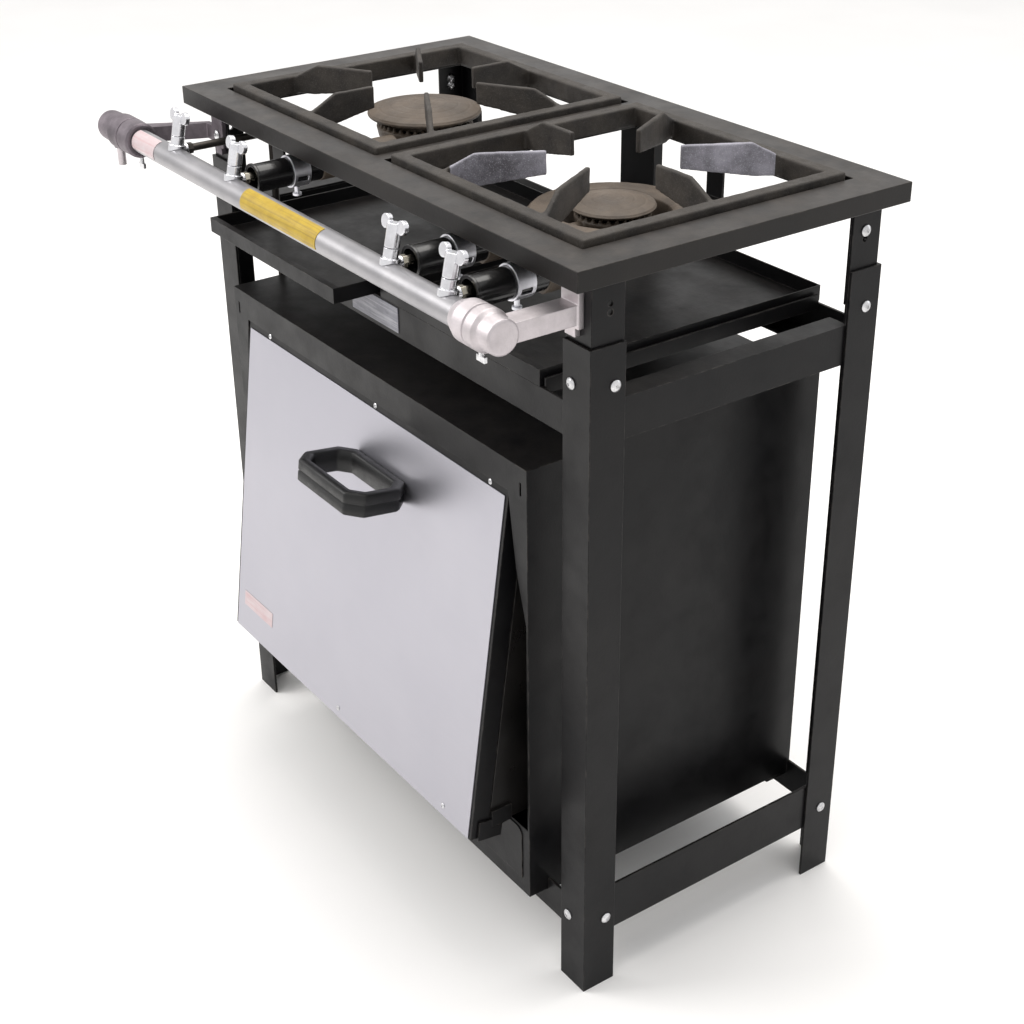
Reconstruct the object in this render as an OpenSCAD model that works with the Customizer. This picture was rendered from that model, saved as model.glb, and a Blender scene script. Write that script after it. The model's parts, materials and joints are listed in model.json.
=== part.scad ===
// Two-burner industrial gas range with a bottom-hinged oven, on a bolted angle-iron frame.
// +X is the right-hand side seen from the front, -Y is the front and Z = 0 is the floor.

/* [Deck and grates] */
// Overall width of the deck
deck_w = 713.2; // [712:1:720]
// Overall depth of the deck
deck_d = 379.2; // [378:1:384]
// Height of the deck's upper face
deck_top = 783; // [783:1:795]
// Side of one square grate
grate_side = 300; // [296:1:301]
// Distance of a grate's centre from the middle of the deck
grate_x = 162.5; // [162.5:0.5:164]
// Height of a grate's cooking surface above the deck
finger_rise = 20; // [16:1:24]

/* [Frame] */
// Width of a leg angle's flange
leg_w = 38.25; // [36:0.25:40]
// Thickness of the angle iron
iron_t = 3; // [3:0.1:3.2]
// Height at which the lower legs end and the upper legs show
leg_seam = 705; // [690:1:710]

/* [Oven] */
// Width of the oven casing
oven_w = 560; // [552:1:566]
// Height of the oven's roof
oven_top = 573; // [573:1:590]
// Width of the door's steel skin
door_w = 492; // [480:1:494]
// Length of the door's steel skin, along its slope
door_len = 372.5; // [370:0.5:372.5]
// Backward lean of the closed door
door_lean = 7.87; // [7.87:0.01:8]

/* [Gas] */
// Outside diameter of the manifold tube
tube_d = 25.4; // [24:0.1:25.4]
// Outside diameter of a venturi
venturi_d = 29; // [27:0.5:29]
// Backward lean of the tap stems
stem_lean = 12; // [10:1:14]

/* [Trays] */
// Width of one drip tray
tray_w = 265; // [258:1:265]
// How far the left tray is pulled out
left_tray_out = 47; // [0:1:60]

/* [Hidden] */
$fn = 64;
paint = "#26262a";
iron = "#3b3a39";
bare_cast = "#b9b2ac";
satin_steel = "#c9cacf";
chrome = "#e4e4e8";
zinc = "#d8d8da";
plastic = "#121214";

// Frame: outer faces of the legs
leg_x = 344.85;
leg_front = -166.8;
leg_back = 172.1;
upper_leg_z = 654;
deck_t = 3;
skirt_h = 19;
skirt_t = 3;
gap_round_grate = 4.5;
ledge_z = 765;
ledge_w = 14;
hole_side = grate_side + 2 * gap_round_grate;
bolt_r = 3;
bolt_head_r = 5.6;
bolt_head_t = 3.4;
low_bolt_z = 84.5;
lap_bolt_z = 667;
side_bolt_y = [-140, 155.5];
face_bolt_x = 319;
top_hole_z = [733, 741];
casting_x = 320;
casting_pad = 6;
top_screw_y = 150;
mid_rail_z = 612;
mid_rail_top = 652;
tray_floor_z = 645;
low_rail_z = 65;
oven_floor_z = 88;
low_side_z = 64;
low_side_top = 119;

// Grates and burners
bar_w = 14;
bar_top = deck_top + 5.5;
finger_t = 5;
finger_tip_r = 62.5;
finger_top = deck_top + finger_rise;
cap_r = 61;
ring_r = 82;
inner_cap_r = 41;
support_offset = -35;

// Gas
tube_r = tube_d / 2;
tube_y = -247;
tube_z = 734;
tube_fit = 0.05;
jet_z = 742.5;
venturi_r = venturi_d / 2;
venturi_z = 741;
venturi_front = -224;
venturi_back = -150;
ring_y = -174.5;
ring_len = 19;
tap_x = [-262, -134, 161, 252];
venturi_x = [-134, 161, 252];
inlet_end_x = -430;
right_end_x = 336;
collar_r = 19.4;
thumb_x = [-352, 304];
thumb_r = 2.5;
nipple_x = -408;
nipple_r = 4.5;
nipple_z = 693;
nipple_len = 20;

// Oven and door
oven_front = -186;
oven_back = 170;
oven_t = 1.5;
liner_w = 498;
liner_z = 171;
liner_top = 541;
liner_back = 148;
door_top_z = 534;
door_front_y = oven_front - door_len * sin(door_lean);
door_low_z = door_top_z - door_len * cos(door_lean);
pan_len = door_len + 7.5;
pan_w = door_w + 8;
pan_t = 21;
pin_y = 14;
pin_z = 4;
pin_r = 3;
handle_x = 40;
handle_s = 308.5;

// Origin: centre of the bounding box at floor level
mid_x = (inlet_end_x + deck_w / 2) / 2;
mid_y = (tube_y - collar_r + deck_d / 2) / 2;

// ---- helpers -------------------------------------------------------------------------

// Everything is laid out about the middle of the deck and moved to the origin here.
module place() translate([-mid_x, -mid_y, 0]) children();

// A cuboid given by its lowest and highest corners.
module block(low, high) translate(low) cube(high - low);

// Cylinders along the three axes, starting at a point.
module rod_x(p, r, len) translate(p) rotate([0, 90, 0]) cylinder(r = r, h = len);
module rod_y(p, r, len) translate(p) rotate([-90, 0, 0]) cylinder(r = r, h = len);
module rod_z(p, r, len) translate(p) cylinder(r = r, h = len);

// An upright angle whose outer corner is at x, y and whose flanges run towards the middle.
module angle_post(x, y, w, z0, z1) {
    sx = sign(x);
    sy = sign(y);
    translate([x, y, z0]) mirror([sx > 0 ? 1 : 0, 0, 0]) mirror([0, sy > 0 ? 1 : 0, 0]) {
        cube([w, iron_t, z1 - z0]);
        cube([iron_t, w, z1 - z0]);
    }
}

// A pan-head screw pointing along +Z from a surface at Z = 0.
module pan_head(r = bolt_head_r, t = bolt_head_t) {
    rotate_extrude()
        difference() {
            intersection() {
                translate([0, t - 1.45 * r]) circle(r = 1.45 * r);
                square([r, t]);
            }
            translate([-1, t - 0.9]) square([1 + 0.28 * r, 2]);
        }
}

// The door's own frame: origin at the skin's lower outer edge, Z up the slope, -Y outwards.
module on_door() translate([0, door_front_y, door_low_z]) rotate([-door_lean, 0, 0]) children();

// A tap's own frame: origin on the tube's axis, Z along the leaning stem.
module on_tap(i) translate([tap_x[i], tube_y, tube_z]) rotate([-stem_lean, 0, 0]) children();

// ---- frame ---------------------------------------------------------------------------

module top_frame() color(paint) place() {
    wall = skirt_t;
    difference() {
        union() {
            difference() {
                block([-deck_w / 2, -deck_d / 2, deck_top - skirt_h], [deck_w / 2, deck_d / 2, deck_top]);
                block([-deck_w / 2 + wall, -deck_d / 2 + wall, 0],
                      [deck_w / 2 - wall, deck_d / 2 - wall, deck_top - deck_t]);
            }
            for (s = [-1, 1]) translate([s * grate_x, 0, 0])
                block([-hole_side / 2 - wall, -hole_side / 2 - wall, ledge_z],
                      [hole_side / 2 + wall, hole_side / 2 + wall, deck_top - 1]);
        }
        for (s = [-1, 1]) translate([s * grate_x, 0, 0]) {
            block([-hole_side / 2, -hole_side / 2, ledge_z + deck_t],
                  [hole_side / 2, hole_side / 2, deck_top + 1]);
            block([-hole_side / 2 + ledge_w, -hole_side / 2 + ledge_w, 0],
                  [hole_side / 2 - ledge_w, hole_side / 2 - ledge_w, deck_top + 1]);
        }
    }
}

module upper_leg(sx, sy) {
    y = sy < 0 ? leg_front + iron_t : leg_back - iron_t;
    x = sx * (leg_x - iron_t);
    difference() {
        angle_post(x, y, leg_w - iron_t, upper_leg_z, deck_top - deck_t);
        for (z = top_hole_z) rod_x([x - 5, sy < 0 ? -144 : top_screw_y, z], bolt_r, 10);
        rod_x([x - 5, side_bolt_y[sy < 0 ? 0 : 1], lap_bolt_z], bolt_r, 10);
        rod_y([sx * face_bolt_x, y - 5, lap_bolt_z], bolt_r, 10);
        if (sy < 0) rod_y([sx * casting_x, y - 5, top_hole_z[0]], bolt_r, 10);
    }
}

module lower_leg(sx, sy) {
    y = sy < 0 ? leg_front : leg_back;
    difference() {
        angle_post(sx * leg_x, y, leg_w, 0, leg_seam);
        for (z = [low_bolt_z, lap_bolt_z]) {
            rod_x([sx * leg_x - 5, side_bolt_y[sy < 0 ? 0 : 1], z], bolt_r, 10);
            rod_y([sx * face_bolt_x, y - 5, z], bolt_r, 10);
        }
    }
}

module upper_leg_front_left() color(paint) place() upper_leg(-1, -1);
module upper_leg_front_right() color(paint) place() upper_leg(1, -1);
module upper_leg_back_left() color(paint) place() upper_leg(-1, 1);
module upper_leg_back_right() color(paint) place() upper_leg(1, 1);
module lower_leg_front_left() color(paint) place() lower_leg(-1, -1);
module lower_leg_front_right() color(paint) place() lower_leg(1, -1);
module lower_leg_back_left() color(paint) place() lower_leg(-1, 1);
module lower_leg_back_right() color(paint) place() lower_leg(1, 1);

// Rails run between the legs' inner faces.
rail_x = leg_x - iron_t;
rail_front = leg_front + iron_t;
rail_back = leg_back - iron_t;
shelf_w = 32;
side_shelf_w = 24;

// The front and back mid rails stay below the trays, which slide over their top edge.
module mid_rail_front() color(paint) place() {
    block([-rail_x, rail_front, mid_rail_z], [rail_x, rail_front + iron_t, tray_floor_z]);
    block([-rail_x + iron_t, rail_front, mid_rail_z],
          [rail_x - iron_t, rail_front + shelf_w, mid_rail_z + iron_t]);
}

module mid_rail_back() color(paint) place() {
    block([-rail_x, rail_back - iron_t, mid_rail_z], [rail_x, rail_back, tray_floor_z]);
    block([-rail_x + iron_t, rail_back - shelf_w, mid_rail_z],
          [rail_x - iron_t, rail_back, mid_rail_z + iron_t]);
}

module side_rail(s, z0, z1, shelf_z) mirror([s > 0 ? 1 : 0, 0, 0]) difference() {
    union() {
        block([-rail_x, rail_front + iron_t, z0], [-rail_x + iron_t, rail_back - iron_t, z1]);
        block([-rail_x, rail_front + shelf_w, shelf_z],
              [-rail_x + side_shelf_w, rail_back - shelf_w, shelf_z + iron_t]);
    }
    for (y = side_bolt_y) rod_x([-rail_x - 5, y, low_bolt_z], bolt_r, 15);
}

module mid_rail_left() color(paint) place() side_rail(-1, mid_rail_z, mid_rail_top, mid_rail_top - iron_t);
module mid_rail_right() color(paint) place() side_rail(1, mid_rail_z, mid_rail_top, mid_rail_top - iron_t);
module low_rail_left() color(paint) place() side_rail(-1, low_side_z, low_side_top, low_side_z);
module low_rail_right() color(paint) place() side_rail(1, low_side_z, low_side_top, low_side_z);

// The oven stands on the shelf of the low rails; beside the oven the rails are taller.
module low_cross_rail(y0, y1, shelf0, shelf1) difference() {
    beside = oven_w / 2 + 1;
    union() {
        block([-rail_x, y0, low_rail_z], [rail_x, y1, oven_floor_z]);
        block([-oven_w / 2, shelf0, oven_floor_z - iron_t], [oven_w / 2, shelf1, oven_floor_z]);
        for (s = [0, 1]) mirror([s, 0, 0])
            block([beside, y0, low_rail_z], [rail_x, y1, low_rail_z + 38]);
    }
    for (s = [-1, 1]) rod_y([s * face_bolt_x, y0 - 5, low_bolt_z], bolt_r, 15);
}

module low_rail_front() color(paint) place()
    low_cross_rail(rail_front, rail_front + iron_t, rail_front, rail_front + shelf_w);
module low_rail_back() color(paint) place()
    low_cross_rail(rail_back - iron_t, rail_back, rail_back - shelf_w, rail_back);

// Each tray slides on two runners, and the middle runner is shared.
module tray_runners() color(paint) place() {
    y0 = rail_front + iron_t;
    y1 = rail_back - iron_t;
    low = tray_floor_z - 6;
    guide_top = tray_floor_z + 9;
    block([-14, y0, low], [14, y1, tray_floor_z]);
    block([-1.5, y0, low], [1.5, y1, guide_top]);
    for (s = [0, 1]) mirror([s, 0, 0]) {
        block([254, y0, low], [275, y1, tray_floor_z]);
        block([272, y0, low], [275, y1, guide_top]);
    }
}

// A bolt along +Z: its head stands on Z = 0 and its shank reaches below.
module bolt(shank) {
    pan_head();
    translate([0, 0, -shank]) cylinder(r = bolt_r - 0.05, h = shank + 0.5);
}

module bolt_x(s, x, y, z) translate([x, y, z]) rotate([0, s * 90, 0]) bolt(9);
module bolt_y(s, x, y, z) translate([x, y, z]) rotate([-s * 90, 0, 0]) bolt(9);

// Bolts through the legs at the two rail levels, the screws at the top of the back legs and
// those that hold the manifold's castings to the front legs.
module frame_bolts() color(zinc) place() {
    for (s = [-1, 1], z = [low_bolt_z, lap_bolt_z]) {
        for (y = side_bolt_y) bolt_x(s, s * leg_x, y, z);
        bolt_y(-1, s * face_bolt_x, leg_front, z);
        bolt_y(1, s * face_bolt_x, leg_back, z);
    }
    bolt_x(1, rail_x, top_screw_y, top_hole_z[1]);
    for (z = top_hole_z) bolt_x(1, iron_t - rail_x, top_screw_y, z);
    for (s = [-1, 1]) translate([s * casting_x, rail_front - casting_pad, top_hole_z[0]])
        rotate([90, 0, 0]) bolt(12);
}

// Blank plates: one on the mid rail and two wrapped on the tube.
module name_plates() color("#8d8d96") place() {
    block([-50, rail_front - 1, 617], [37, rail_front, 643]);
    tube_label(-92, 55);
    tube_label(-344, -290);
}

module tube_label(x0, x1) difference() {
    intersection() {
        rod_x([x0, tube_y, tube_z], tube_r + 0.5, x1 - x0);
        block([x0 - 1, tube_y - tube_r - 1, tube_z - 5], [x1 + 1, tube_y - 1, tube_z + tube_r + 1]);
    }
    rod_x([x0 - 1, tube_y, tube_z], tube_r + tube_fit, x1 - x0 + 2);
}

// ---- grates and burners --------------------------------------------------------------

// One radial finger, drawn in its own plane: radius across, height up.
module finger(root) {
    base = ledge_z + deck_t + 2;
    rotate([90, 0, 0]) translate([0, 0, -finger_t / 2]) linear_extrude(finger_t)
        polygon([
            [finger_tip_r, finger_top - 23], [finger_tip_r, finger_top],
            [root - 28, finger_top], [root + 1, bar_top - 0.5],
            [root + 6, bar_top - 0.5], [root + 6, base], [root - 22, base]
        ]);
}

module grate(cx, turn) translate([cx, 0, 0]) rotate([0, 0, turn]) {
    inner = grate_side / 2 - bar_w;
    difference() {
        block([-grate_side / 2, -grate_side / 2, ledge_z + deck_t],
              [grate_side / 2, grate_side / 2, bar_top]);
        block([-inner, -inner, 0], [inner, inner, 2 * deck_top]);
    }
    for (a = [0:60:300])
        rotate([0, 0, a]) finger(inner / (a % 180 == 0 ? 1 : sin(60)));
}

// Both grates are the same casting; the left one lies a quarter turn round.
module grate_left() color(iron) place() grate(-grate_x, 90);
module grate_right() color(iron) place() grate(grate_x, 0);

// A flat bar under each burner, turned up and bolted to the opening's walls.
support_z = 712;
module burner_supports() color(paint) place() {
    half = hole_side / 2 + skirt_t;
    for (s = [-1, 1]) translate([s * grate_x + support_offset, 0, 0]) {
        block([-12, -half - 3, support_z], [12, half + 3, support_z + 3]);
        for (m = [0, 1]) mirror([0, m, 0])
            block([-12, half, support_z], [12, half + 3, deck_top - deck_t]);
    }
}

// A slightly domed cap: flat rim, shallow crown.
module domed_cap(r, z_edge, z_top, rim) translate([0, 0, z_edge]) rotate_extrude() {
    rise = z_top - z_edge;
    crown = (r * r + rise * rise) / (2 * rise);
    intersection() {
        translate([0, rise - crown]) circle(r = crown, $fn = 128);
        translate([0, -0.001]) square([r + 1, rise + 1]);
    }
    translate([0, -rim]) square([r, rim + 0.4]);
}

// A ring of port teeth standing on a burner.
module teeth(r, z, count, h) for (i = [0:count - 1])
    rotate([0, 0, (i + 0.5) * 360 / count]) translate([r - 6, -1.6, z]) cube([5.4, 3.2, h]);

left_seat = 757;
module burner_left_body() color(iron) place() translate([-grate_x, 0, 0]) {
    rotate_extrude() polygon([
        [0, support_z + 3], [30, support_z + 3], [44, 728], [50, 742], [52, left_seat - 5],
        [51, left_seat - 4], [43, left_seat - 4], [43, left_seat - 7], [0, left_seat - 7]
    ]);
    teeth(50, left_seat - 4.5, 36, 4.5);
    // Mixing tube, stepped down into the bowl
    rod_y([grate_x + venturi_x[0], venturi_back, venturi_z], venturi_r + 1, 92);
    rod_y([grate_x + venturi_x[0], -62, venturi_z - 6], 12.5, 42);
}

module burner_left_cap() color(iron) place() translate([-grate_x, 0, 0]) {
    domed_cap(cap_r, left_seat + 11, left_seat + 19, 5);
    rod_z([0, 0, left_seat + 0.3], 54, 6);
    rod_z([0, 0, left_seat - 3], 42, 5);
}

ring_top = 745;
module burner_right_ring() color(iron) place() translate([grate_x, 0, 0]) {
    difference() {
        rotate_extrude() polygon([
            [56, 716], [72, 716], [ring_r, 728], [ring_r, ring_top - 4], [ring_r - 4, ring_top],
            [60, ring_top], [56, ring_top - 4]
        ]);
        for (i = [0:35]) rotate([0, 0, i * 10]) rod_x([ring_r - 8, 0, ring_top - 8], 1.2, 12);
        // Tunnel for the inner head's mixing tube
        rod_y([venturi_x[1] - grate_x, -ring_r - 5, inner_tube_z], inner_tube_r + 0.4, 40);
    }
    // Mixing arm from the outer venturi, turned in to the ring
    arm_x = venturi_x[2] - grate_x;
    rod_y([arm_x, venturi_back, venturi_z - 8], venturi_r - 4, 150);
    rod_x([ring_r - 10, 0, venturi_z - 8], venturi_r - 4, arm_x - ring_r + 10);
    translate([arm_x, 0, venturi_z - 8]) sphere(r = venturi_r - 4);
    rod_y([arm_x, venturi_back, venturi_z], venturi_r + 1, 14);
    // Web down to the support bar
    difference() {
        block([support_offset - 11, -60, support_z + 3], [support_offset + 11, 60, 722]);
        rod_z([0, 0, 0], 52, 900);
    }
}

head_seat = 744;
inner_tube_z = 731;
inner_tube_r = 8;
module burner_right_head() color(iron) place() translate([grate_x, 0, 0]) {
    rotate_extrude() polygon([
        [0, support_z + 3], [26, support_z + 3], [34, 726], [37, head_seat - 6],
        [36.5, head_seat - 4], [29, head_seat - 4], [29, head_seat - 7], [0, head_seat - 7]
    ]);
    teeth(36, head_seat - 4.5, 28, 4.5);
    rod_y([venturi_x[1] - grate_x, venturi_back, inner_tube_z], inner_tube_r, 120);
    rod_y([venturi_x[1] - grate_x, venturi_back, venturi_z], venturi_r + 1, 14);
}

module burner_right_cap() color(iron) place() translate([grate_x, 0, 0]) {
    domed_cap(inner_cap_r, head_seat + 6, head_seat + 12, 4);
    rod_z([0, 0, head_seat + 0.3], 37, 4);
    rod_z([0, 0, head_seat - 3], 28, 5);
}

// A black tube with a flared mouth and two air slots under the sliding ring.
module venturi(x) difference() {
    union() {
        rod_y([x, venturi_front, venturi_z], venturi_r, venturi_back - venturi_front);
        rod_y([x, venturi_front, venturi_z], venturi_r + 0.9, 3);
    }
    rod_y([x, venturi_front - 1, venturi_z], venturi_r - 2.5, venturi_back - venturi_front - 4);
    for (s = [-1, 1]) translate([x, ring_y, venturi_z]) rotate([0, s * 40, 0])
        translate([-3, -6, -venturi_r - 2]) cube([6, 12, 8]);
}

module venturi_left() color(plastic) place() venturi(venturi_x[0]);
module venturi_inner() color(plastic) place() venturi(venturi_x[1]);
module venturi_outer() color(plastic) place() venturi(venturi_x[2]);

// The ring turns on the venturi; its slots uncover the venturi's. The lock screw is below.
module air_ring(x) {
    difference() {
        union() {
            rod_y([x, ring_y - ring_len / 2, venturi_z], venturi_r + 2.1, ring_len);
            rod_z([x, ring_y, venturi_z - venturi_r - 11], 2.6, 10);
            rod_z([x, ring_y, venturi_z - venturi_r - 12], 4.6, 3);
        }
        rod_y([x, ring_y - ring_len, venturi_z], venturi_r + 0.06, 2 * ring_len);
        for (s = [-1, 1]) translate([x, ring_y, venturi_z]) rotate([0, s * 70, 0])
            translate([-3, -6, -venturi_r - 6]) cube([6, 12, 8]);
    }
}

module air_ring_left() color(chrome) place() air_ring(venturi_x[0]);
module air_ring_inner() color(chrome) place() air_ring(venturi_x[1]);
module air_ring_outer() color(chrome) place() air_ring(venturi_x[2]);

// ---- gas line ------------------------------------------------------------------------

tube_x0 = -398;
tube_x1 = 322;
module manifold_tube() color("#c4c3c8") place() difference() {
    rod_x([tube_x0, tube_y, tube_z], tube_r, tube_x1 - tube_x0);
    rod_x([tube_x0 + 8, tube_y, tube_z], tube_r - 2.2, tube_x1 - tube_x0 - 16);
}

// A turned body on the tube's axis; the outline gives [x, radius] from one end to the other.
module turned(outline) translate([0, tube_y, tube_z]) rotate([0, 90, 0]) rotate_extrude()
    polygon([for (p = outline) [p[1], p[0]]]);

// The castings stand on the face of the upper front legs.
upper_face = rail_front;
module casting_bore(x0, x1) rod_x([x0, tube_y, tube_z], tube_r + tube_fit, x1 - x0);

module manifold_bracket() color(bare_cast) place() difference() {
    union() {
        turned([
            [276, 0], [276, 14.4], [288, collar_r - 0.2], [303, collar_r], [303, collar_r - 1.6],
            [305, collar_r - 1.6], [305, collar_r], [316, collar_r], [320, 16.4],
            [right_end_x - 1.5, 15.8], [right_end_x, 14], [right_end_x, 0]
        ]);
        block([309, tube_y + 8, 724], [331, upper_face - 6, 742]);
        flange_plate(1);
    }
    casting_bore(270, tube_x1 + 0.5);
    // Recess for the screw's head in the arm, and the screw's hole
    rod_y([casting_x, tube_y + 30, top_hole_z[0]], bolt_head_r + 1.2,
          upper_face - casting_pad - tube_y - 30);
    rod_y([casting_x, upper_face - 20, top_hole_z[0]], bolt_r, 40);
    rod_z([thumb_x[1], tube_y, tube_z - 22], thumb_r + 0.1, 8);
}

// The pad that sits on the face of an upper front leg.
module flange_plate(s) translate([s * casting_x, upper_face - casting_pad, 0]) {
    block([-12, 0, 720], [12, casting_pad, 753]);
    block([-7, 0, 712], [7, casting_pad, 721]);
}

module inlet_casting() color("#8f8b8c") place() difference() {
    union() {
        turned([
            [inlet_end_x, 0], [inlet_end_x, 13], [inlet_end_x + 3, 16.5], [-399, 17.5], [-396, collar_r],
            [-372, collar_r], [-372, collar_r - 1.6], [-370, collar_r - 1.6], [-370, collar_r],
            [-348, collar_r - 0.4], [-346, collar_r - 3], [-346, 0]
        ]);
        translate([0, 0, 724]) linear_extrude(17) polygon([
            [-394, tube_y + 6], [-374, tube_y + 6], [-344, upper_face - casting_pad],
            [-326, upper_face - casting_pad], [-326, upper_face], [-350, upper_face]
        ]);
        flange_plate(-1);
        rod_z([nipple_x, tube_y, nipple_z + nipple_len], 7, 14);
    }
    casting_bore(tube_x0 - 0.5, -340);
    rod_y([-casting_x, upper_face - 20, top_hole_z[0]], bolt_r, 40);
    rod_z([thumb_x[0], tube_y, tube_z - 22], thumb_r + 0.1, 8);
    rod_z([nipple_x, tube_y, nipple_z], nipple_r - 0.8 + tube_fit, nipple_len + 6.5);
}

module gas_inlet_nipple() color("#9a9698") place() difference() {
    union() {
        rod_z([nipple_x, tube_y, nipple_z], nipple_r, nipple_len);
        rod_z([nipple_x, tube_y, nipple_z], nipple_r - 0.8, nipple_len + 6);
    }
    rod_z([nipple_x, tube_y, nipple_z - 1], 2.6, nipple_len + 3);
}

// A small thumb screw under each casting clamps the tube.
module thumb_screws() color(zinc) place() for (x = thumb_x) {
    rod_z([x, tube_y, tube_z - 26], thumb_r, 11);
    block([x - 6, tube_y - 1.5, tube_z - 31], [x + 6, tube_y + 1.5, tube_z - 25.5]);
}

// Taps: a saddle on the tube, a barrel and a thin stem that the handle turns on.
module valve_bodies() color(chrome) place() difference() {
    for (i = [0:3]) {
        on_tap(i) {
            rod_z([0, 0, 8], 9.2, 8);
            rod_z([0, 0, 8], 7, 17);
            rod_z([0, 0, 8], 3, 32);
        }
        rod_y([tap_x[i], tube_y + 3, jet_z + 1], 6, 10.7);
    }
    rod_x([-500, tube_y, tube_z], tube_r + tube_fit, 1000);
}

injector_y = tube_y + 13.7;
module injectors() color(chrome) place() for (i = [1:3]) {
    rod_y([tap_x[i], injector_y, jet_z + 1], 4.4, 11);
    translate([tap_x[i], injector_y, jet_z + 1]) rotate([-90, 0, 0]) cylinder(r = 6.2, h = 5, $fn = 6);
    translate([tap_x[i], injector_y + 11, jet_z + 1]) rotate([-90, 0, 0]) cylinder(r1 = 4.4, r2 = 2.2, h = 4);
}

// A butterfly handle: a hub over the stem and two small round ears.
ear_x = 12.5;
ear_r = 6.5;
module valve_handle(i) on_tap(i) {
    difference() {
        union() {
            rod_z([0, 0, 25.4], 7, 21.6);
            translate([0, 2.5, 0]) rotate([90, 0, 0]) linear_extrude(5) difference() {
                union() {
                    for (s = [-1, 1]) translate([s * ear_x, 45.5]) circle(r = ear_r);
                    translate([-ear_x, 39.5]) square([2 * ear_x, 8]);
                }
                translate([-7, 47]) square([14, 12]);
            }
        }
        rod_z([0, 0, 20], 3.06, 20.6);
    }
}

module valve_handle_oven() color(chrome) place() valve_handle(0);
module valve_handle_left() color(chrome) place() valve_handle(1);
module valve_handle_inner() color(chrome) place() valve_handle(2);
module valve_handle_outer() color(chrome) place() valve_handle(3);

// A quarter bend of pipe in the plane given by the caller, centred on the bend's centre.
pipe_r = 4;
bend_r = 14;
module bend() rotate_extrude(angle = 90) translate([bend_r, 0]) circle(r = pipe_r, $fn = 32);

feed_x = -293;
feed_y = -118;
burner_z = 132;
module oven_feed_pipe() color("#55504c") place() {
    z = jet_z + 1;
    x = tap_x[0];
    // From the tap backwards, across to the left, down beside the oven and in
    translate([x, injector_y, z]) rotate([-90, 0, 0]) cylinder(r = 6.2, h = 6, $fn = 6);
    rod_y([x, injector_y, z], pipe_r, feed_y - bend_r - injector_y);
    translate([x - bend_r, feed_y - bend_r, z]) bend();
    rod_x([feed_x + bend_r, feed_y, z], pipe_r, x - feed_x - 2 * bend_r);
    translate([feed_x + bend_r, feed_y, z - bend_r]) rotate([90, 0, 0]) rotate([0, 0, 90]) bend();
    rod_z([feed_x, feed_y, burner_z + bend_r], pipe_r, z - burner_z - 2 * bend_r);
    translate([feed_x + bend_r, feed_y, burner_z + bend_r])
        rotate([90, 0, 0]) rotate([0, 0, 180]) bend();
    rod_x([feed_x + bend_r, feed_y, burner_z], pipe_r, 30);
}

// A drilled tube under the oven floor, fed from the left.
module oven_burner() color(iron) place() difference() {
    union() {
        rod_y([0, -130, burner_z], 12, 250);
        rod_x([feed_x + bend_r + 34, feed_y + 24, burner_z], 9, 250);
        rod_y([feed_x + bend_r + 43, feed_y + 5, burner_z], 9, 20);
    }
    for (y = [-100:20:100], s = [-1, 1])
        translate([0, y, burner_z]) rotate([0, s * 35, 0]) cylinder(r = 1.5, h = 20);
}

// ---- oven ----------------------------------------------------------------------------

// The front plate's opening is narrower at the top, where the plate keeps wide shoulders.
module mouth_outline() polygon([
    [-277, liner_z - 0.5], [277, liner_z - 0.5], [277, 410], [262, 465], [250.5, liner_top + 0.5],
    [-250.5, liner_top + 0.5], [-262, 465], [-277, 410]
]);

module oven_casing() color(paint) place() difference() {
    block([-oven_w / 2, oven_front, oven_floor_z], [oven_w / 2, oven_back, oven_top]);
    block([-oven_w / 2 + oven_t, oven_front + oven_t, oven_floor_z + oven_t],
          [oven_w / 2 - oven_t, oven_back - oven_t, oven_top - oven_t]);
    translate([0, oven_front + 10, 0]) rotate([90, 0, 0]) linear_extrude(20) mouth_outline();
    block([-258, oven_front - 5, 112], [258, oven_front + 5, 160]);
    for (s = [-1, 1]) block([s * 270 - 1.2, oven_front - 5, 544], [s * 270 + 1.2, oven_front + 5, 557]);
    // Feed pipe's entry and the flue's outlet
    rod_x([-oven_w / 2 - 5, feed_y, burner_z], pipe_r + 1, 10);
    block([-36, oven_back - 5, 506], [8, oven_back + 5, 534]);
}

// The cavity's box: its mouth is cut on the door's slope.
module oven_liner() color(iron) place() {
    half = liner_w / 2;
    slack = 1.5;
    difference() {
        union() {
            difference() {
                block([-half, -250, liner_z], [half, liner_back, liner_top]);
                block([-half + oven_t, -260, liner_z + oven_t],
                      [half - oven_t, liner_back - oven_t, liner_top - oven_t]);
            }
            // Ledges for the rack
            for (s = [0, 1], z = [250, 330, 410]) mirror([s, 0, 0])
                block([half - 9, -170, z], [half - 1, liner_back - 8, z + 2]);
        }
        on_door() block([-300, -100, -40], [300, pan_t + slack, pan_len + 40]);
        rod_z([-14, liner_back - 40, liner_top - 5], 16, 10);
    }
    // Spacers that hold the box in the casing
    for (s = [0, 1]) mirror([s, 0, 0])
        block([half, 20, 330], [oven_w / 2 - oven_t, 60, 333]);
}

// A plate with two rounded corners over the burner's access hole.
module oven_kick_panel() color(paint) place() translate([0, oven_front, 0]) rotate([90, 0, 0])
    linear_extrude(1.2) {
        half = 268;
        corner = 10;
        low = 106;
        high = 168;
        translate([-half, low]) square([2 * half, high - corner - low]);
        translate([corner - half, low]) square([2 * (half - corner), high - low]);
        for (s = [-1, 1]) translate([s * (half - corner), high - corner]) circle(r = corner);
    }

// A grid of square wire that lies on the middle ledges.
module oven_rack() color(zinc) place() {
    wire = 4;
    z = 332;
    w = 484;
    y0 = -160;
    y1 = 130;
    for (y = [y0, y1 - wire]) block([-w / 2, y, z], [w / 2, y + wire, z + wire]);
    for (i = [0:13]) translate([-w / 2 + i * (w - wire) / 13, y0, z]) cube([wire, y1 - y0, wire]);
}

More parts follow.
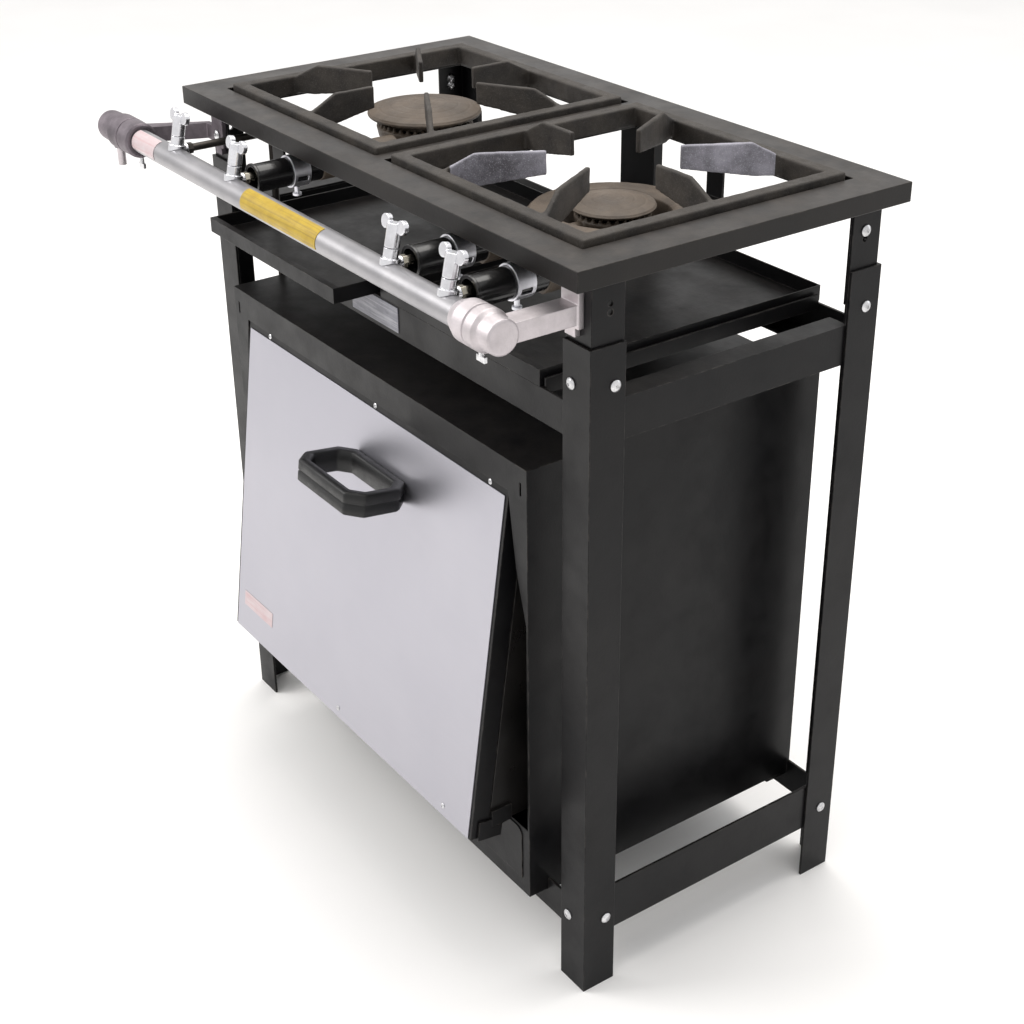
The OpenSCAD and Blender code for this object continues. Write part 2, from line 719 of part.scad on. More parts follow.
module oven_flue() color(paint) place() difference() {
    union() {
        block([-42, 173.1, 500], [14, 185, 776]);
        block([-38, oven_back, 504], [10, 174, 536]);
    }
    block([-40.5, 174.6, 501.5], [12.5, 183.5, 774.5]);
    block([-36, oven_back - 1, 506], [8, 176, 534]);
    block([-38, 180, 722], [10, 190, 758]);
}

// A plate on each side of the liner carries a short pin for the door.
module door_hinges() color(paint) place() for (s = [0, 1]) mirror([s, 0, 0]) {
    side = pan_w / 2 + 0.5;
    block([liner_w / 2 + 0.05, -212, liner_z + 1], [side + 2.5, -188, liner_z + 20]);
    on_door() {
        block([side, pin_y - 6, -2], [side + 2.5, pin_y + 22, 20]);
        rod_x([side - 6, pin_y, pin_z], pin_r, 7);
    }
}

// ---- door ----------------------------------------------------------------------------

module door_pan() color(paint) place() on_door() difference() {
    block([-pan_w / 2, 1, 0], [pan_w / 2, pan_t, pan_len]);
    block([-pan_w / 2 + 2, 2.5, 2], [pan_w / 2 - 2, pan_t + 1, pan_len - 2]);
    rod_x([-pan_w / 2 - 5, pin_y, pin_z], pin_r + 0.06, pan_w + 10);
}

module door_inner_panel() color(iron) place() on_door()
    block([-pan_w / 2 + 2.2, pan_t - 1.2, 9], [pan_w / 2 - 2.2, pan_t, pan_len - 2.2]);

module door_skin() color(satin_steel) place() on_door()
    block([-door_w / 2, 0, 0], [door_w / 2, 1, door_len]);

// A flat eight-sided loop standing out from the skin.
handle_w = 120;
handle_out = 70;
handle_bar = 9;
module loop_outline(inset) {
    c = 15 - 0.4 * inset;
    w = handle_w / 2 - inset;
    polygon([
        [-w + c, -inset], [w - c, -inset], [w, -inset - c], [w, -handle_out + inset + c],
        [w - c, -handle_out + inset], [-w + c, -handle_out + inset],
        [-w, -handle_out + inset + c], [-w, -inset - c]
    ]);
}

module door_handle() color(plastic) place() on_door()
    translate([handle_x, 0, handle_s - 12]) linear_extrude(24) difference() {
        loop_outline(0);
        loop_outline(handle_bar);
    }

module door_screws() color(zinc) place() on_door() {
    for (x = [-202, 19, 221]) translate([x, 1, door_len + 3.8]) rotate([90, 0, 0]) pan_head(3, 1.6);
    for (x = [-9, 200]) translate([x, 0, 11]) rotate([90, 0, 0]) pan_head(3, 1.6);
    block([-230, -0.4, 34], [-163, 0, 52]);
}

// ---- trays ---------------------------------------------------------------------------

tray_d = 336;
tray_h = 16;
tray_t = 1.2;
module tray(x0, y0) translate([x0, y0, tray_floor_z]) {
    difference() {
        cube([tray_w, tray_d, tray_h]);
        translate([tray_t, tray_t, tray_t]) cube([tray_w - 2 * tray_t, tray_d - 2 * tray_t, tray_h]);
    }
    // Folded front lip
    translate([0, 0, tray_h - tray_t]) cube([tray_w, 7, tray_t]);
}

module tray_left() color(paint) place() tray(-5 - tray_w, -164 - left_tray_out);
module tray_right() color(paint) place() tray(5, -164);

// ---- drawing -------------------------------------------------------------------------

top_frame();
upper_leg_front_left();
upper_leg_front_right();
upper_leg_back_left();
upper_leg_back_right();
lower_leg_front_left();
lower_leg_front_right();
lower_leg_back_left();
lower_leg_back_right();
mid_rail_front();
mid_rail_back();
mid_rail_left();
mid_rail_right();
low_rail_front();
low_rail_back();
low_rail_left();
low_rail_right();
tray_runners();
frame_bolts();
name_plates();
grate_left();
grate_right();
burner_supports();
burner_left_body();
burner_left_cap();
burner_right_ring();
burner_right_head();
burner_right_cap();
venturi_left();
venturi_inner();
venturi_outer();
air_ring_left();
air_ring_inner();
air_ring_outer();
manifold_tube();
manifold_bracket();
inlet_casting();
gas_inlet_nipple();
thumb_screws();
valve_bodies();
injectors();
valve_handle_oven();
valve_handle_left();
valve_handle_inner();
valve_handle_outer();
oven_feed_pipe();
oven_burner();
oven_casing();
oven_liner();
oven_kick_panel();
oven_rack();
oven_flue();
door_hinges();
door_pan();
door_inner_panel();
door_skin();
door_handle();
door_screws();
tray_left();
tray_right();
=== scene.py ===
import json
import math

import bmesh
import bpy
from mathutils import Euler, Matrix, Vector, noise

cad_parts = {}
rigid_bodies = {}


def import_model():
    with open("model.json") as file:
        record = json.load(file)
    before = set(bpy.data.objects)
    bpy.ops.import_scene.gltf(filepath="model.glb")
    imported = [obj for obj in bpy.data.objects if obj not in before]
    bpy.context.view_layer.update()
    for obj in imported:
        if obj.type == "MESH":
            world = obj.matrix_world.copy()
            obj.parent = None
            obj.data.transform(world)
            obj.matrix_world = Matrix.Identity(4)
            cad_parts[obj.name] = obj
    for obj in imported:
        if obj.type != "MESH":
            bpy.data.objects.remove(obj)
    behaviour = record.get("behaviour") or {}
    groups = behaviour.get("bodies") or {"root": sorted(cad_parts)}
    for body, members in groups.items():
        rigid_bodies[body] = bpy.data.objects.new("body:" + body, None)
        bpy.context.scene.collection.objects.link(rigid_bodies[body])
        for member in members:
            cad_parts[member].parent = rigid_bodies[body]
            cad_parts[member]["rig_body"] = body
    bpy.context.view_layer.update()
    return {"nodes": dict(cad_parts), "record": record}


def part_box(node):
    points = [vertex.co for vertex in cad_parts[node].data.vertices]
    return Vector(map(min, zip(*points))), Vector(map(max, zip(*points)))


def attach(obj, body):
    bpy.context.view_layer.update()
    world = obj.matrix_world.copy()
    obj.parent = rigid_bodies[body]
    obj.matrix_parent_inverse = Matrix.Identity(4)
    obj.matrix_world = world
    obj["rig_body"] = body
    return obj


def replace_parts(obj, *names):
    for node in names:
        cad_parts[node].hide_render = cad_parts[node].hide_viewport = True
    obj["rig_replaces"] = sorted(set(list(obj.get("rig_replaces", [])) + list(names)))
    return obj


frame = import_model()
NODES = frame["nodes"]
SLOTS = {s["node"]: s["material_slot"] for s in frame["record"]["subparts"]}
scene = bpy.context.scene
MM = 0.001
EVEN = (1, 1, 1)

# ---- camera and light -------------------------------------------------------------------
scene.view_settings.view_transform = "Standard"

CAMERA_AT = (1.39781, -0.92033, 1.26431)
CAMERA_TURN = (62.4267, 0.7161, 54.8061)  # degrees: tilt up from straight down, roll, heading
CAMERA_SHIFT = (0.00478, -0.0368)  # of the picture's width, off the lens's own axis
FOCAL_LENGTH = 59.933
SENSOR = 36
cam_data = bpy.data.cameras.new("camera")
cam_data.lens = FOCAL_LENGTH
cam_data.sensor_width = SENSOR
cam_data.shift_x, cam_data.shift_y = CAMERA_SHIFT
cam_data.clip_end = 50
camera = bpy.data.objects.new("camera", cam_data)
turn = Euler([math.radians(a) for a in CAMERA_TURN]).to_matrix().to_4x4()
camera.matrix_world = Matrix.Translation(CAMERA_AT) @ turn
scene.collection.objects.link(camera)
scene.camera = camera


def area_light(name, at, aim, size, watts, colour):
    """A soft box standing at one point and facing another."""
    data = bpy.data.lights.new(name, "AREA")
    data.shape = "RECTANGLE"
    data.size, data.size_y = size
    data.energy = watts
    data.color = colour
    ob = bpy.data.objects.new(name, data)
    ob.location = at
    ob.rotation_mode = "QUATERNION"
    ob.rotation_quaternion = (Vector(aim) - Vector(at)).to_track_quat("-Z", "Y")
    scene.collection.objects.link(ob)


area_light("key", (-1.6, -2.2, 2.6), (0, 0, 0.45), (1.6, 1.6), watts=58, colour=(1.0, 0.985, 0.965))
area_light("top", (-0.2, 0.5, 2.9), (0, 0, 0.5), (2.2, 1.6), watts=48, colour=(1.0, 0.97, 0.93))
area_light("rim", (1.2, 2.4, 1.5), (0, 0, 0.6), (0.8, 1.6), watts=5, colour=(0.95, 0.97, 1.0))

world = bpy.data.worlds.new("world")
scene.world = world
world.use_nodes = True
sky = world.node_tree.nodes["Background"].inputs
sky["Color"].default_value = (1, 0.995, 0.99, 1)
sky["Strength"].default_value = 0.95


# ---- materials --------------------------------------------------------------------------
def lin(r, g, b):
    """An sRGB colour, 0 to 255, as the shader's linear one."""
    return tuple(((c / 255 + 0.055) / 1.055) ** 2.4 if c > 10 else c / 255 / 12.92 for c in (r, g, b)) + (1,)


class Graph:
    """Wires one Principled material out of layers that lie on the piece's own coordinates."""

    def __init__(self, name, metal=0.0, specular=0.5):
        self.mat = bpy.data.materials.new(name)
        self.mat.use_nodes = True
        self.tree = self.mat.node_tree
        self.shader = self.tree.nodes["Principled BSDF"]
        self.shader.inputs["Metallic"].default_value = metal
        self.shader.inputs["Specular IOR Level"].default_value = specular
        self.coords = self.tree.nodes.new("ShaderNodeTexCoord")
        self.relief = None

    def node(self, kind, **values):
        n = self.tree.nodes.new(kind)
        for k, v in values.items():
            setattr(n, k, v)
        return n

    def link(self, a, b):
        self.tree.links.new(a, b)

    def at(self, stretch):
        """The piece's own coordinates, scaled along each axis."""
        m = self.node("ShaderNodeMapping")
        m.inputs["Scale"].default_value = stretch
        self.link(self.coords.outputs["Object"], m.inputs["Vector"])
        return m.outputs["Vector"]

    def noise(self, scale, detail=3.0, rough=0.55, stretch=EVEN, low=0.35, high=0.65):
        """Noise brought to 0..1 between the two levels."""
        t = self.node("ShaderNodeTexNoise")
        t.inputs["Scale"].default_value = scale
        t.inputs["Detail"].default_value = detail
        t.inputs["Roughness"].default_value = rough
        self.link(self.at(stretch), t.inputs["Vector"])
        return self.span(t.outputs["Fac"], low, high)

    def cells(self, scale, low, high):
        """Distance from the middle of a scattered cell, brought to 0..1 between the two levels."""
        t = self.node("ShaderNodeTexVoronoi")
        t.inputs["Scale"].default_value = scale
        self.link(self.at(EVEN), t.inputs["Vector"])
        return self.span(t.outputs["Distance"], low, high)

    def span(self, value, low, high, out_low=0.0, out_high=1.0):
        """A value's range mapped onto another, and held inside it."""
        r = self.node("ShaderNodeMapRange")
        r.inputs["From Min"].default_value = low
        r.inputs["From Max"].default_value = high
        r.inputs["To Min"].default_value = out_low
        r.inputs["To Max"].default_value = out_high
        self.link(value, r.inputs["Value"])
        return r.outputs["Result"]

    def times(self, a, b):
        """The product of two values, either of which may be a plain number."""
        m = self.node("ShaderNodeMath", operation="MULTIPLY")
        for socket, v in zip(m.inputs, (a, b)):
            if isinstance(v, (int, float)):
                socket.default_value = v
            else:
                self.link(v, socket)
        return m.outputs[0]

    def mix(self, fac, a, b):
        """Colour a where fac is 0, b where it is 1."""
        m = self.node("ShaderNodeMix", data_type="RGBA")
        for socket, v in ((m.inputs[0], fac), (m.inputs[6], a), (m.inputs[7], b)):
            if isinstance(v, (int, float, tuple)):
                socket.default_value = v
            else:
                self.link(v, socket)
        return m.outputs[2]

    def upward(self):
        """1 where the piece's own surface looks up."""
        s = self.node("ShaderNodeSeparateXYZ")
        self.link(self.coords.outputs["Normal"], s.inputs[0])
        return self.span(s.outputs["Z"], 0.3, 0.95)

    def edges(self, radius):
        """1 on sharp edges: where a widely rounded normal leaves the real one."""
        b = self.node("ShaderNodeBevel", samples=4)
        b.inputs["Radius"].default_value = radius
        g = self.node("ShaderNodeNewGeometry")
        d = self.node("ShaderNodeVectorMath", operation="DOT_PRODUCT")
        self.link(b.outputs[0], d.inputs[0])
        self.link(g.outputs["Normal"], d.inputs[1])
        return self.span(d.outputs["Value"], 0.995, 0.86)

    def colour(self, value):
        self.link(value, self.shader.inputs["Base Color"])

    def roughness(self, value, low, high):
        self.link(self.span(value, 0, 1, low, high), self.shader.inputs["Roughness"])

    def bump(self, height, distance, strength):
        """Relief of a depth in metres, laid over whatever relief is there already."""
        b = self.node("ShaderNodeBump")
        b.inputs["Distance"].default_value = distance
        b.inputs["Strength"].default_value = strength
        self.link(height, b.inputs["Height"])
        if self.relief is not None:
            self.link(self.relief, b.inputs["Normal"])
        self.relief = b.outputs["Normal"]
        self.link(self.relief, self.shader.inputs["Normal"])


def paint(name, dark, light, dust, rough=(0.3, 0.46), specular=0.22, worn=0.3, peel=1.0, dusty=0.2):
    """Sprayed black paint: slow colour drift, orange peel, dust above, thin worn edges."""
    g = Graph(name, specular=specular)
    c = g.mix(g.noise(9, 4), dark, light)
    settled = g.times(g.upward(), g.times(g.noise(38, 6, 0.7, low=0.3, high=0.75), dusty))
    c = g.mix(settled, c, dust)
    specks = g.times(g.cells(1500, 0.10, 0.04), 0.18)
    c = g.mix(specks, c, dust)
    wear = g.times(g.edges(0.0016), g.noise(70, 5, 0.7, low=0.45, high=0.62))
    c = g.mix(g.times(wear, worn), c, lin(128, 122, 116))
    g.colour(c)
    g.roughness(g.noise(22, 6, 0.65), *rough)
    g.bump(g.noise(420, 2, 0.5, low=0, high=1), 0.00022 * peel, 0.35)
    g.bump(g.noise(16, 3, low=0, high=1), 0.0016, 0.25)
    return g.mat


def cast_iron(name, dark, light, fleck, rough=(0.52, 0.72), flecks=0.25):
    """Sand-cast iron: coarse grain, pits and paler flecks, rubbed edges, and upward faces lightened as a
    painted highlight.
    """
    g = Graph(name, specular=0.35)
    c = g.mix(g.noise(26, 6, 0.65), dark, light)
    grains = g.times(g.noise(900, 3, 0.7, low=0.55, high=0.72), flecks)
    c = g.mix(grains, c, fleck)
    # Upward faces are mixed 0.35 of the way towards the light tone: a painted highlight on the tops
    c = g.mix(g.times(g.upward(), 0.35), c, light)
    wear = g.times(g.noise(120, 4, 0.7, low=0.4, high=0.6), 0.5)
    c = g.mix(g.times(g.edges(0.0022), wear), c, fleck)
    g.colour(c)
    g.roughness(g.noise(60, 5, 0.7), *rough)
    g.bump(g.noise(1100, 4, 0.7, low=0, high=1), 0.0005, 0.5)
    g.bump(g.noise(170, 4, 0.6, low=0, high=1), 0.0009, 0.4)
    return g.mat


def metal(name, dark, light, rough, grain=300, stretch=EVEN, depth=0.0001, blotch=14, strength=0.3):
    """Bare or plated metal: blotches, and a grain stretched along the way it was worked."""
    g = Graph(name, metal=1.0)
    lay = g.noise(grain, 4, 0.7, stretch, 0.2, 0.8)
    c = g.mix(g.noise(blotch, 5, 0.6), dark, light)
    g.colour(g.mix(g.times(lay, 0.30), c, dark))
    mixed = g.node("ShaderNodeMath", operation="ADD")
    g.link(g.times(lay, 0.5), mixed.inputs[0])
    g.link(g.times(g.noise(blotch * 1.7, 5, 0.65), 0.5), mixed.inputs[1])
    g.roughness(mixed.outputs[0], *rough)
    g.bump(lay, depth, strength)
    return g.mat


def plastic(name, dark, light):
    """Moulded plastic with a fine pebbled skin."""
    g = Graph(name, specular=0.4)
    g.colour(g.mix(g.noise(40, 4), dark, light))
    g.roughness(g.noise(90, 5, 0.7), 0.34, 0.5)
    g.bump(g.cells(2600, 0.0, 0.6), 0.00012, 0.4)
    return g.mat


def label(name, paper, band, ink):
    """A blank printed plate: faded paper, rubbed thin in long streaks, with worn edges."""
    g = Graph(name, specular=0.45)
    c = g.mix(g.noise(60, 5, 0.7), paper, band)
    streaks = g.times(g.noise(420, 3, 0.6, (0.03, 1, 1), 0.5, 0.64), 0.35)
    c = g.mix(streaks, c, ink)
    c = g.mix(g.times(g.edges(0.0018), 0.7), c, paper)
    g.colour(c)
    g.roughness(g.noise(80, 4), 0.34, 0.52)
    g.bump(g.noise(500, 3, low=0, high=1), 0.0001, 0.4)
    return g.mat


BY_SLOT = {
    "black_paint": paint("black_paint", lin(11, 11, 13), lin(17, 16, 17), lin(74, 69, 65), specular=0.19),
    "black_enamel": paint(
        "black_enamel", lin(12, 12, 13), lin(18, 18, 19), lin(60, 58, 56),
        rough=(0.14, 0.26), specular=0.5, worn=0.15, peel=0.5,
    ),
    "oven_enamel": paint(
        "oven_enamel", lin(20, 19, 19), lin(34, 32, 31), lin(80, 75, 70),
        rough=(0.25, 0.4), specular=0.35,
    ),
    "cast_iron": cast_iron("cast_iron", lin(30, 27, 25), lin(56, 51, 46), lin(132, 127, 124)),
    "bare_cast": metal(
        "bare_cast", lin(184, 178, 180), lin(212, 205, 208), (0.45, 0.6),
        grain=500, depth=0.0003, blotch=30, strength=0.35,
    ),
    "tube_aluminium": metal(
        "tube_aluminium", lin(150, 149, 152), lin(172, 170, 172), (0.38, 0.5),
        grain=260, stretch=(0.03, 1, 1),
    ),
    "satin_steel": metal(
        "satin_steel", lin(172, 171, 179), lin(180, 179, 186), (0.4, 0.46),
        grain=900, stretch=(0.012, 1, 1), depth=0.00004, blotch=2.5, strength=0.2,
    ),
    "chrome": metal(
        "chrome", lin(214, 214, 218), lin(240, 240, 244), (0.16, 0.26),
        depth=0.00008, blotch=60, strength=0.25,
    ),
    "brass_plated": metal("brass_plated", lin(170, 164, 150), lin(214, 208, 196), (0.16, 0.3)),
    "zinc": metal("zinc", lin(176, 176, 178), lin(226, 226, 228), (0.22, 0.36), grain=500, blotch=120),
    "rack_wire": metal("rack_wire", lin(150, 150, 152), lin(200, 200, 202), (0.2, 0.34), grain=500),
    "dark_pipe": metal("dark_pipe", lin(52, 49, 47), lin(92, 88, 84), (0.4, 0.55)),
    "label": label("label_grey", lin(126, 126, 134), lin(104, 104, 112), lin(200, 200, 205)),
    "black_plastic": plastic("black_plastic", lin(9, 9, 10), lin(16, 16, 18)),
}
LABEL_YELLOW = label("label_yellow", lin(176, 148, 36), lin(160, 132, 32), lin(92, 78, 44))
LABEL_PINK = label("label_pink", lin(190, 178, 180), lin(186, 166, 168), lin(176, 128, 130))
DARK_CASTING = metal(
    "dark_casting", lin(98, 92, 97), lin(136, 128, 134), (0.48, 0.62),
    grain=500, depth=0.0004, blotch=30, strength=0.4,
)
BURNER_IRON = cast_iron(
    "burner_iron", lin(50, 43, 37), lin(92, 81, 70), lin(136, 126, 116),
    rough=(0.45, 0.62), flecks=0.15,
)
DECK_PAINT = paint(
    "deck_paint", lin(15, 13, 12), lin(25, 22, 20), lin(74, 67, 61),
    rough=(0.3, 0.42), specular=0.25, dusty=0.5,
)
SATIN_CHROME = metal("satin_chrome", lin(200, 200, 206), lin(232, 232, 238), (0.34, 0.42), blotch=60)
SPECKLED_IRON = cast_iron(
    "grate_flecked", lin(84, 82, 88), lin(150, 148, 158), lin(205, 205, 212),
    rough=(0.5, 0.7), flecks=0.6,
)


# ---- mesh helpers -----------------------------------------------------------------------
SHARP = math.radians(28)  # a real corner, and not a step of something round
SEAM = 0.004 * MM
RIPPLES = 90  # of a casting's face, per metre


def add(name, mesh, material, node):
    """Shows a mesh in place of a CAD node, riding on the node's body."""
    ob = bpy.data.objects.new(name, mesh)
    scene.collection.objects.link(ob)
    mesh.materials.clear()
    mesh.materials.append(material)
    for p in mesh.polygons:
        p.use_smooth = True
        p.material_index = 0
    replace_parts(ob, node)
    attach(ob, NODES[node]["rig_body"])
    return ob


def merged(node):
    """A node's bare mesh with its seams merged, and no normals or marks carried over."""
    bm = bmesh.new()
    bm.from_mesh(NODES[node].data)
    bmesh.ops.remove_doubles(bm, verts=bm.verts, dist=SEAM)
    bm.verts.index_update()
    mesh = bpy.data.meshes.new(node + "_piece")
    mesh.from_pydata([v.co[:] for v in bm.verts], [], [[v.index for v in f.verts] for f in bm.faces])
    bm.free()
    return mesh


def settle(ob):
    """Turns an object's modifiers into plain mesh."""
    bpy.context.view_layer.update()
    done = bpy.data.meshes.new_from_object(ob.evaluated_get(bpy.context.evaluated_depsgraph_get()))
    ob.modifiers.clear()
    old, ob.data = ob.data, done
    done.name = ob.name
    bpy.data.meshes.remove(old)


def rounded(node, width, shortest, material):
    """The node with real rounded edges, apart from those shorter than a limit, such as a bolt hole's."""
    mesh = merged(node)
    bm = bmesh.new()
    bm.from_mesh(mesh)
    weight = bm.edges.layers.float.new("bevel_weight_edge")
    for e in bm.edges:
        if len(e.link_faces) == 2 and e.calc_face_angle(0) > SHARP:
            if e.calc_length() > shortest * MM:
                e[weight] = 1
            else:
                e.smooth = False
    bm.to_mesh(mesh)
    bm.free()
    ob = add(node + "_piece", mesh, material, node)
    b = ob.modifiers.new("edges", "BEVEL")
    b.width = width * MM
    b.segments = 2
    b.limit_method = "WEIGHT"
    b.use_clamp_overlap = False
    b.miter_outer = "MITER_ARC"
    b.harden_normals = True
    settle(ob)


def casting(node, voxel, rounds, ripple, material):
    """The node as a casting: one skin with filleted corners and a slightly uneven face."""
    ob = add(node + "_piece", merged(node), material or BY_SLOT[SLOTS[node]], node)
    r = ob.modifiers.new("skin", "REMESH")
    r.mode = "VOXEL"
    r.voxel_size = voxel * MM
    r.use_smooth_shade = True
    s = ob.modifiers.new("fillets", "SMOOTH")
    s.factor = 0.5
    s.iterations = rounds
    settle(ob)
    # The normals are read before any point moves: each move makes Blender work them out anew
    spots = [(v.co.copy(), v.normal.copy()) for v in ob.data.vertices]
    moved = [c for at, out in spots for c in at + out * (ripple * MM * noise.noise(at * RIPPLES))]
    ob.data.vertices.foreach_set("co", moved)
    ob.data.update()


# ---- floor ------------------------------------------------------------------------------
FLOOR = 14  # half its side, in metres
corners = [(-FLOOR, -FLOOR, 0), (FLOOR, -FLOOR, 0), (FLOOR, FLOOR, 0), (-FLOOR, FLOOR, 0)]
floor_mesh = bpy.data.meshes.new("floor")
floor_mesh.from_pydata(corners, [], [(0, 1, 2, 3)])
floor = bpy.data.objects.new("floor", floor_mesh)
scene.collection.objects.link(floor)
pale = Graph("floor", specular=0.2)
pale.colour(pale.mix(pale.noise(1.5, 3), lin(246, 245, 244), lin(250, 249, 248)))
pale.roughness(pale.noise(3, 3), 0.6, 0.75)
floor_mesh.materials.append(pale.mat)

# ---- castings ---------------------------------------------------------------------------
# Each node's voxel in mm, rounds of smoothing, unevenness in mm, and material if not its slot's
CASTINGS = {
    "grate_left": (1.3, 5, 0.35, None),
    "grate_right": (1.3, 5, 0.35, None),
    "burner_left_body": (1.0, 3, 0.2, BURNER_IRON),
    "burner_right_ring": (1.0, 3, 0.2, BURNER_IRON),
    "burner_right_head": (0.9, 3, 0.2, BURNER_IRON),
    "manifold_bracket": (0.55, 1, 0.05, None),
    "inlet_casting": (0.6, 3, 0.12, DARK_CASTING),
}
for tap in ("oven", "left", "inner", "outer"):
    CASTINGS["valve_handle_" + tap] = (0.45, 4, 0.05, None)
for ring in ("left", "inner", "outer"):
    CASTINGS["air_ring_" + ring] = (0.35, 3, 0, SATIN_CHROME)

coarser = 1.0
for node, (voxel, rounds, ripple, material) in CASTINGS.items():
    casting(node, voxel * coarser, rounds, ripple, material)


# ---- turned and moulded pieces ----------------------------------------------------------
def lathe(bm, outline, at, steps):
    """Turns a closed [radius, height] outline, in mm, about the upright through a point."""
    rings = []
    for k in range(steps):
        a = 2 * math.pi * k / steps
        spots = [Vector((r * math.cos(a), r * math.sin(a), z)) for r, z in outline]
        rings.append([bm.verts.new(at + p * MM) for p in spots])
    for k in range(steps):
        join(bm, rings[k], rings[(k + 1) % steps])


def join(bm, here, there):
    """Fills between two closed rows of points."""
    for i in range(len(here)):
        j = (i + 1) % len(here)
        bm.faces.new((here[i], there[i], there[j], here[j]))


def filleted(outline, radius, steps=3):
    """The outline with each corner cut to a small arc."""
    out = []
    count = len(outline)
    for i in range(count):
        p, before, after = (Vector(outline[k % count]) for k in (i, i - 1, i + 1))
        a, b = before - p, after - p
        r = min(radius, a.length * 0.45, b.length * 0.45)
        start, end = p + a.normalized() * r, p + b.normalized() * r
        for k in range(steps + 1):
            t = k / steps
            out.append(tuple(start.lerp(p, t).lerp(p.lerp(end, t), t)))
    return out


def finished(bm, material, node):
    """Closes a piece made point by point and shows it in place of its node."""
    bmesh.ops.remove_doubles(bm, verts=bm.verts, dist=1e-7)
    bmesh.ops.recalc_face_normals(bm, faces=bm.faces)
    mesh = bpy.data.meshes.new(node + "_piece")
    bm.to_mesh(mesh)
    bm.free()
    add(node + "_piece", mesh, material, node)


CAP_SIDES = 128
CAP_STEPS = 60  # from the rim to the middle


def burner_cap(node, crown, rim, boss_r, grooves):
    """A domed iron cap: turned rings on its crown, a rounded rim and the boss that centres it."""
    low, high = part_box(node)
    r = (high.x - low.x) / 2 / MM
    edge = (high.z - low.z) / MM - crown
    under = edge - rim
    bevel = 1.5
    fillet = 0.7
    boss = [(0, 0), (boss_r, 0), (boss_r, under)]
    side = [(r - bevel, under), (r, under + bevel), (r, edge - bevel)]
    outline = filleted(boss + side, fillet)
    groove_depth = 0.35
    plain = 6  # the middle and the margin are left without rings
    for k in range(CAP_STEPS + 1):
        rad = (r - 1) * (1 - k / CAP_STEPS)
        z = edge + (crown - 0.3) * (1 - (rad / r) ** 2)
        if plain < rad < r - plain:
            z -= groove_depth * max(0, math.cos(2 * math.pi * grooves * rad / r)) ** 6
        outline.append((rad, z))
    bm = bmesh.new()
    foot = Vector(((low.x + high.x) / 2, (low.y + high.y) / 2, low.z))
    lathe(bm, outline, foot, CAP_SIDES)
    finished(bm, BURNER_IRON, node)


burner_cap("burner_left_cap", crown=8, rim=5, boss_r=42, grooves=5)
burner_cap("burner_right_cap", crown=6, rim=4, boss_r=28, grooves=4)


def octagon(width, out, inset, cut, height):
    """An eight-sided loop in the handle's plane, with rounded corners: x along, y outwards."""
    w = width / 2 - inset
    near, far = -inset, inset - out
    c = cut - 0.41 * inset  # the corner's cut narrows as the loop goes in
    corner = 2.2
    right = [(w - c, near), (w, near - c), (w, far + c), (w - c, far)]
    left = [(-x, y) for x, y in reversed(right)]
    return [(x, y, height) for x, y in filleted(right + left, corner)]


def door_handle():
    """Moulded loop in two halves: chamfered rims and a shallow groove where the halves meet."""
    skin_low, skin_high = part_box("door_skin")
    lean = math.atan2(skin_high.y - skin_low.y - MM, skin_high.z - skin_low.z)
    low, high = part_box("door_handle")
    width = (high.x - low.x) / MM
    thick, out, bar, cut = 24, 70, 10.5, 15
    rim, rim_up = 1.6, 1.8
    groove, groove_half = 1.7, 1.5
    belly = 0.8
    mid = thick / 2
    outer = [(rim, 0), (0, rim_up), (0, mid - groove_half), (groove, mid)]
    outer += [(0, mid + groove_half), (0, thick - rim_up), (rim, thick)]
    inner = [(bar - rim, thick), (bar, thick - rim_up), (bar + belly, mid), (bar, rim_up), (bar - rim, 0)]
    # The tilted loop's inner top edge meets the box's rear, and its outer top edge the box's top
    spin = Matrix.Rotation(-lean, 3, "X")
    back = high.y - max(0, (spin @ Vector((0, 0, thick * MM))).y)
    up = high.z - (spin @ Vector((0, -out, thick)) * MM).z
    base = Vector(((low.x + high.x) / 2, back, up))
    bm = bmesh.new()
    loops = []
    for inset, height in outer + inner:
        spots = octagon(width, out, inset, cut, height)
        loops.append([bm.verts.new(base + spin @ (Vector(p) * MM)) for p in spots])
    for k, loop in enumerate(loops):
        join(bm, loop, loops[(k + 1) % len(loops)])
    finished(bm, BY_SLOT["black_plastic"], "door_handle")


door_handle()

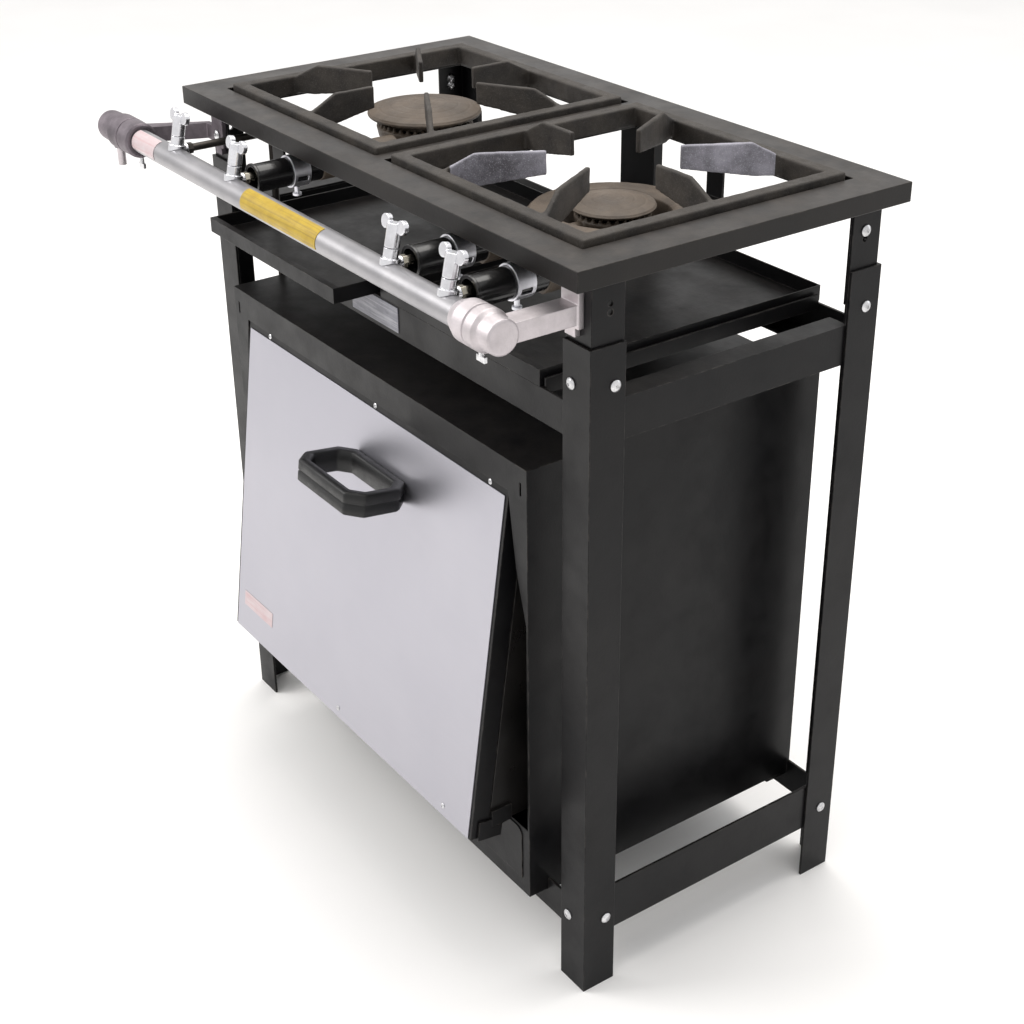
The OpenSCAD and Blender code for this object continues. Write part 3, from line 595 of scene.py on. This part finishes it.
# ---- everything else gets real edges ----------------------------------------------------
USUAL_EDGE = 0.6
EDGES = {
    "top_frame": 0.9,
    "oven_rack": 0.8,
    "oven_casing": 0.55,
    "oven_liner": 0.5,
    "oven_flue": 0.5,
    "door_pan": 0.5,
    "oven_kick_panel": 0.4,
    "door_inner_panel": 0.4,
    "tray_left": 0.4,
    "tray_right": 0.4,
    "thumb_screws": 0.4,
    "gas_inlet_nipple": 0.4,
    "door_skin": 0.35,
    "frame_bolts": 0.3,
    "injectors": 0.3,
    "name_plates": 0.15,
    "door_screws": 0.15,
}
SHEET = ("black_paint", "satin_steel", "oven_enamel")
SHEET_SHORTEST = 2.0  # a shorter edge on a sheet is a step of a hole's rim, which stays square
OWN = {"top_frame": DECK_PAINT}
done = {o["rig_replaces"][0] for o in scene.objects if "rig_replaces" in o}
for node in sorted(set(NODES) - done):
    shortest = SHEET_SHORTEST if SLOTS[node] in SHEET else 0
    rounded(node, EDGES.get(node, USUAL_EDGE), shortest, OWN.get(node, BY_SLOT[SLOTS[node]]))


# ---- plates of other colours within one node --------------------------------------------
def recolour(name, material, chosen):
    """Gives the material to those of a piece's faces whose middle is chosen."""
    ob = bpy.data.objects[name]
    ob.data.materials.append(material)
    for p in ob.data.polygons:
        if chosen(p.center):
            p.material_index = len(ob.data.materials) - 1


FINGER_TURN = math.radians(60)
FINGER_HALF = 4.5 * MM
FINGER_REACH = 152 * MM
grate_low, grate_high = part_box("grate_right")
grate_mid = (grate_low + grate_high) / 2


def on_bare_finger(c):
    """The two fingers in line on the right grate that were left bare and are speckled."""
    out = Vector((c.x - grate_mid.x, c.y - grate_mid.y))
    aside = out.x * math.sin(FINGER_TURN) - out.y * math.cos(FINGER_TURN)
    return abs(aside) < FINGER_HALF and out.length < FINGER_REACH


recolour("grate_right_piece", SPECKLED_IRON, on_bare_finger)

# The plates on the gas rail lie in front of its rear edge, and the frame's badge behind it
rail_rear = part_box("manifold_tube")[1].y + 2 * MM
rail_split = -150 * MM
recolour("name_plates_piece", LABEL_YELLOW, lambda c: c.y < rail_rear and c.x > rail_split)
recolour("name_plates_piece", LABEL_PINK, lambda c: c.y < rail_rear and c.x < rail_split)

# The door's label shares a node with its screws, and lies low at its left end
label_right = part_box("door_screws")[0].x + 67.5 * MM
label_foot, label_head = 190 * MM, 235 * MM
recolour("door_screws_piece", LABEL_PINK, lambda c: c.x < label_right and label_foot < c.z < label_head)
